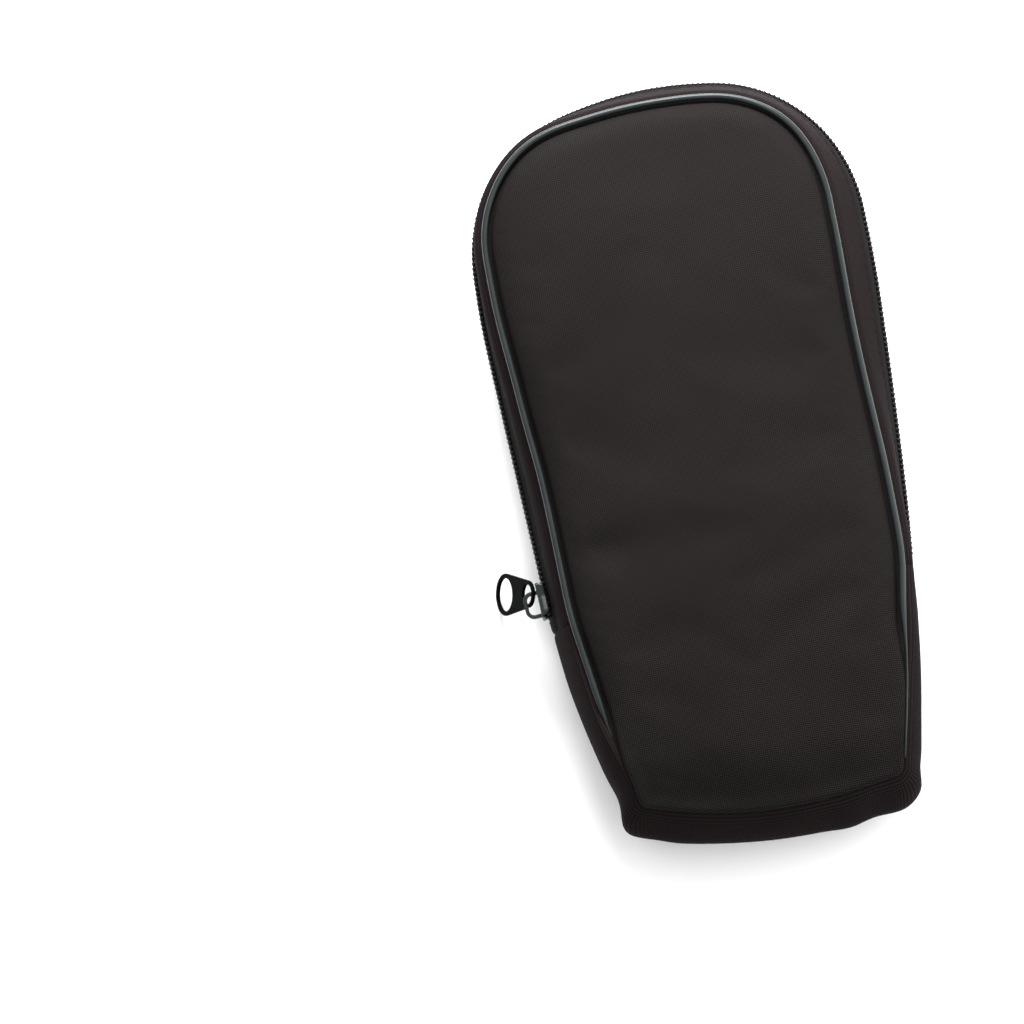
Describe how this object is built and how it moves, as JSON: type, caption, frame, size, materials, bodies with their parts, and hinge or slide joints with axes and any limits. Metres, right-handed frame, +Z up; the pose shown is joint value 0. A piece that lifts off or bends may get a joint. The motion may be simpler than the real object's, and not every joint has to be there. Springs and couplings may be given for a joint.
{
  "type": "otoscope carry case",
  "caption": "Soft zip carry case for an otoscope: arched black cloth pouch with corded seams, a wrap-round zip with a linked pull tab, and a padded front that folds open.",
  "frame": {"origin": "middle of the flat back face that the case lies on, on the line of symmetry and at mid-length", "axes": "+Z up out of the front panel, away from the surface it lies on; +Y along the length towards the rounded top; +X across the width"},
  "size_m": [0.1169, 0.208, 0.04],
  "materials": {
    "cover_cloth": "black woven nylon, fine diagonal weave",
    "gusset_cloth": "brown-black woven nylon strip, fine cross ribs",
    "foam": "soft quilted wadding, sealed inside",
    "lining_cloth": "smooth dark tricot lining",
    "binding_tape": "narrow woven binding tape",
    "piping_vinyl": "glossy vinyl-covered cord",
    "zip_tape": "woven herringbone zip tape",
    "zip_coil": "moulded-looking nylon coil, slight sheen",
    "slider_metal": "black glossy enamel on die-cast metal",
    "elastic": "ribbed knitted elastic"
  },
  "bodies": {
    "shell": {"back_panel": "cover_cloth", "back_foam": "foam", "back_lining": "lining_cloth", "back_binding": "binding_tape", "back_piping": "piping_vinyl", "back_gusset": "gusset_cloth", "lower_gusset": "gusset_cloth", "front_panel_lower": "cover_cloth", "front_foam_lower": "foam", "front_lining_lower": "lining_cloth", "front_binding_lower": "binding_tape", "front_piping_lower": "piping_vinyl", "zipper_tape_back": "zip_tape", "zipper_teeth_back": "zip_coil", "zip_end_tab_left": "zip_tape", "zip_end_tab_right": "zip_tape", "elastic_keeper": "elastic"},
    "flap": {"front_panel_upper": "cover_cloth", "front_foam_upper": "foam", "front_lining_upper": "lining_cloth", "front_binding_upper": "binding_tape", "front_piping_upper": "piping_vinyl", "front_gusset": "gusset_cloth", "zipper_tape_front": "zip_tape", "zipper_teeth_front": "zip_coil"},
    "slider": {"slider_body": "slider_metal"},
    "pull": {"pull_tab": "slider_metal"}
  },
  "joints": [
    {"name": "flap_fold", "type": "hinge", "parent": "shell", "child": "flap", "pos_m": [0, -0.038, 0.04], "axis": [1, 0, 0], "range_deg": [0, 150]},
    {"name": "slider_travel", "type": "slide", "parent": "shell", "child": "slider", "axis": [-0.0495, 0.9988, 0], "range_m": [0, 0.08]},
    {"name": "pull_swing", "type": "hinge", "parent": "slider", "child": "pull", "pos_m": [-0.05357, -0.02659, 0.02], "axis": [0.9988, 0.0495, 0], "range_deg": [0, 70]}
  ]
}
